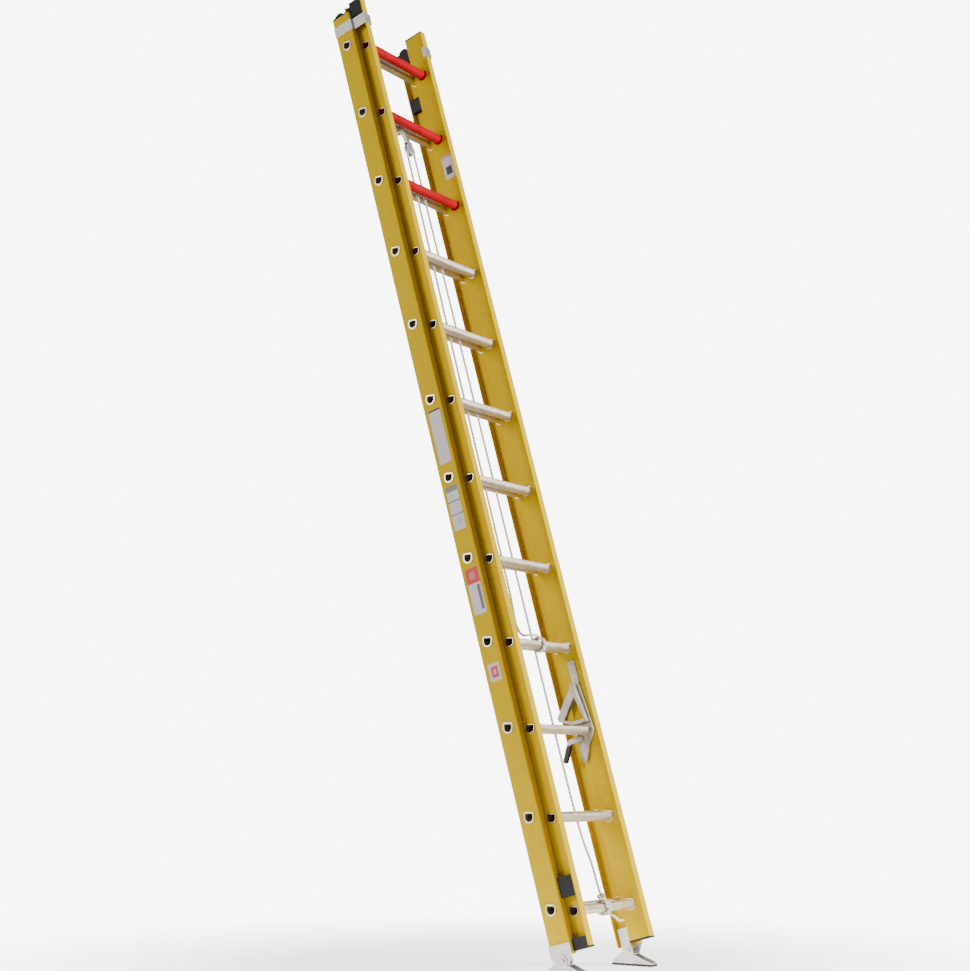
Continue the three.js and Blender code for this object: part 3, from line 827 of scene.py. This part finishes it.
def smoothRoute(points, step):
    # a centripetal spline through the points, with rings an even step apart
    route = []
    ends = [points[0] * 2 - points[1]] + points + [points[-1] * 2 - points[-2]]
    for i in range(1, len(ends) - 2):
        p0, p1, p2, p3 = ends[i - 1:i + 3]
        t0 = 0
        t1 = t0 + max((p1 - p0).length, 1e-5) ** 0.5
        t2 = t1 + max((p2 - p1).length, 1e-5) ** 0.5
        t3 = t2 + max((p3 - p2).length, 1e-5) ** 0.5
        count = max(2, round((p2 - p1).length / step))
        for k in range(count):
            t = t1 + (t2 - t1) * k / count
            a1 = p0 * ((t1 - t) / (t1 - t0)) + p1 * ((t - t0) / (t1 - t0))
            a2 = p1 * ((t2 - t) / (t2 - t1)) + p2 * ((t - t1) / (t2 - t1))
            a3 = p2 * ((t3 - t) / (t3 - t2)) + p3 * ((t - t2) / (t3 - t2))
            b1 = a1 * ((t2 - t) / (t2 - t0)) + a2 * ((t - t0) / (t2 - t0))
            b2 = a2 * ((t3 - t) / (t3 - t1)) + a3 * ((t - t1) / (t3 - t1))
            route.append(b1 * ((t2 - t) / (t2 - t1)) + b2 * ((t - t1) / (t2 - t1)))
    route.append(points[-1].copy())
    return route


def ropeMesh(name, points):
    radius = ropeSize["radius"]
    route = smoothRoute([Vector(p) for p in points], ropeSize["ringStep"])
    sides = ropeSize["sides"]
    verts, faces, uvs = [], [], []
    normal = None
    travelled = 0.0
    for i, centre in enumerate(route):
        ahead = route[min(i + 1, len(route) - 1)] - route[max(i - 1, 0)]
        tangent = ahead.normalized()
        if normal is None:
            normal = tangent.orthogonal().normalized()
        normal = (normal - tangent * normal.dot(tangent)).normalized()
        side = tangent.cross(normal)
        if i:
            travelled += (centre - route[i - 1]).length
        for k in range(sides):
            angle = 2 * math.pi * k / sides
            wave = math.cos(3 * angle + 2 * math.pi * travelled / ropeSize["layLength"])
            r = radius - ropeSize["strandDepth"] * 0.5 * (1 - wave)
            verts.append(centre + (normal * math.cos(angle) + side * math.sin(angle)) * r)
        uvs.append(travelled)
    for i in range(len(route) - 1):
        for k in range(sides):
            a, b = i * sides + k, i * sides + (k + 1) % sides
            faces.append((a, b, b + sides, a + sides))
    faces.append(tuple(reversed(range(sides))))
    faces.append(tuple(range((len(route) - 1) * sides, len(route) * sides)))
    mesh = bpy.data.meshes.new(name)
    mesh.from_pydata([tuple(v) for v in verts], [], faces)
    layer = mesh.uv_layers.new(name="lay")
    for poly in mesh.polygons:
        for corner in poly.loop_indices:
            vertex = mesh.loops[corner].vertex_index
            ring, k = divmod(vertex, sides)
            seam = len(poly.vertices) == 4 and max(v % sides for v in poly.vertices) == sides - 1
            wrap = 1.0 if k == 0 and seam else 0.0
            layer.data[corner].uv = (k / sides + wrap, uvs[ring])
    obj = bpy.data.objects.new(name, mesh)
    bpy.context.scene.collection.objects.link(obj)
    activate(obj)
    bpy.ops.object.mode_set(mode="EDIT")
    bpy.ops.mesh.select_all(action="SELECT")
    bpy.ops.mesh.normals_make_consistent(inside=False)
    leaveEdit()
    print(name, "length", round(travelled, 3))
    return obj


sheave = {"x": -0.005, "y": -0.031, "z": baseRungZ(10) - 0.115, "pitch": 0.02295}


def aroundRung(x0, x1, y, z, turns, start=0.0):
    # a coil of rope round a rung, as points in the ladder frame; start 0 is the rung's front
    radius = ropeSize["coilRadius"]
    count = int(ropeSize["coilSteps"] * turns)
    points = []
    for i in range(count + 1):
        part = i / count
        angle = start + 2 * math.pi * turns * part
        points.append((x0 + (x1 - x0) * part, y - radius * math.cos(angle), z + radius * math.sin(angle)))
    return points


def placeRope():
    s = sheave
    low, hitchZ, flyY = flyRungZ(0), flyRungZ(3), ladder["flyY"]
    overSheave = [(s["x"] + s["pitch"] * math.cos(a), s["y"], s["z"] + s["pitch"] * math.sin(a))
                  for a in [math.pi * k / 8 for k in range(9)]]
    hoist = [(-0.038, -0.0835, low + 0.044), (-0.033, -0.079, low + 0.07), (-0.008, -0.062, 0.28),
             (0.012, -0.038, 0.38), (0.016, s["y"], 0.48), (0.0145, s["y"], 1.1), (0.0155, s["y"], 2.1),
             (s["x"] + s["pitch"], s["y"], s["z"] - 0.03)]
    hoistLine = ropeMesh("hoistLine", hoist)
    turn = [(s["x"] + s["pitch"], s["y"], s["z"] - 0.03)] + overSheave
    turn.append((s["x"] - s["pitch"], s["y"], s["z"] - 0.03))
    sheaveTurn = ropeMesh("sheaveTurn", turn)
    fall = [(s["x"] - s["pitch"], s["y"], s["z"] - 0.03), (-0.046, s["y"], 2.1), (-0.066, -0.036, 1.262),
            (-0.086, -0.045, 1.12), (-0.09, -0.062, 1.088), (-0.078, -0.076, hitchZ + 0.026),
            (-0.05, -0.08, hitchZ + 0.026), (-0.022, -0.082, hitchZ + 0.0225)]
    coil = aroundRung(-0.012, 0.0105, flyY, hitchZ, 2.2, start=0.75)
    fallLine = ropeMesh("fallLine", fall + coil)
    knotPoints = [(-0.038, -0.0835, low + 0.046), (-0.031, -0.09, low + 0.036), (-0.036, -0.093, low + 0.026),
                  (-0.046, -0.085, low + 0.026), (-0.044, -0.076, low + 0.034), (-0.034, -0.078, low + 0.037),
                  (-0.03, -0.088, low + 0.03), (-0.026, -0.0888, low + 0.02), (-0.018, -0.0866, low + 0.008)]
    wrap = aroundRung(-0.014, 0.0095, flyY, low, 2.25, start=-0.1)
    under = aroundRung(0.011, 0.02, flyY, low, 0.5, math.pi / 2 + 0.2)
    tail = under + [(0.03, flyY - 0.014, low - 0.035), (0.052, flyY - 0.01, low - 0.044),
                    (0.08, flyY, low - 0.049), (0.104, flyY, low - 0.05)]
    hoistKnot = ropeMesh("hoistKnot", knotPoints + wrap + tail)
    for piece in (hoistLine, sheaveTurn, fallLine, hoistKnot):
        piece.data.transform(leanMatrix)
        for poly in piece.data.polygons:
            poly.use_smooth = True
        piece.data.materials.append(finish["rope"])
    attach(hoistLine, "base_section")
    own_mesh(hoistLine)
    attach(sheaveTurn, "base_section")
    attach(fallLine, "base_section")
    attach(hoistKnot, "fly_section")
    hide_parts("halyard")
    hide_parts("halyard", "fall_hitch")
    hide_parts("halyard")
    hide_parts("hoist_knot")
    print("rope placed")


placeRope()

# stage
stage = {
    "floor": 14.0,
    "floorColour": (0.86, 0.86, 0.86),
    "floorGlow": 2.0,
    "floorFade": (0.7, 2.2),
    "worldLight": 0.32,
    "worldSeen": 8.0,
}


def makeStage():
    deselectAll()
    bpy.ops.mesh.primitive_plane_add(size=stage["floor"] * 2, location=(0, 0, -0.0002))
    floor = bpy.context.active_object
    floor.name = "studioFloor"
    f = Finish("floorPaint")
    tone = f.noise(3, 2)
    coords = f.node("ShaderNodeTexCoord", output=3)
    reach = f.node("ShaderNodeVectorMath", {"operation": "LENGTH"}, output=1, Vector=coords)
    worn = f.mix(f.remap(tone, 0.3, 0.7, 0, 0.05), stage["floorColour"], (0.8, 0.8, 0.8))
    f.set(colour=worn, roughness=0.9,
          alpha=f.remap(reach, *stage["floorFade"], 1, 0))
    f.shader.inputs["Emission Color"].default_value = (1, 1, 1, 1)
    f.shader.inputs["Emission Strength"].default_value = stage["floorGlow"]
    floor.data.materials.append(f.material)
    world = bpy.data.worlds.new("studioWorld")
    world.use_nodes = True
    tree = world.node_tree
    background = tree.nodes["Background"]
    background.inputs[0].default_value = (1, 1, 1, 1)
    seen = Socket(tree, tree.nodes.new("ShaderNodeLightPath").outputs["Is Camera Ray"])
    level = stage["worldLight"] + (stage["worldSeen"] - stage["worldLight"]) * seen
    tree.links.new(level.link, background.inputs[1])
    bpy.context.scene.world = world


lights = {
    "key": {"at": (2.5, -7.0, 3.2), "aim": (0, 0, 1.8), "size": 3.0, "power": 1350},
    "side": {"at": (-6.2, 3.4, 3.0), "aim": (0, 0, 1.8), "size": 3.0, "power": 400},
    "back": {"at": (3.0, 5.5, 4.5), "aim": (0, 0, 1.9), "size": 3.0, "power": 70},
}


def makeLights():
    for name, light in lights.items():
        data = bpy.data.lights.new(name + "Light", "AREA")
        data.shape = "DISK"
        data.size = light["size"]
        data.energy = light["power"]
        obj = bpy.data.objects.new(name + "Light", data)
        bpy.context.scene.collection.objects.link(obj)
        obj.location = light["at"]
        obj.rotation_euler = (Vector(light["aim"]) - Vector(light["at"])).to_track_quat("-Z", "Y").to_euler()


makeStage()
makeLights()
print("stage and lights made")
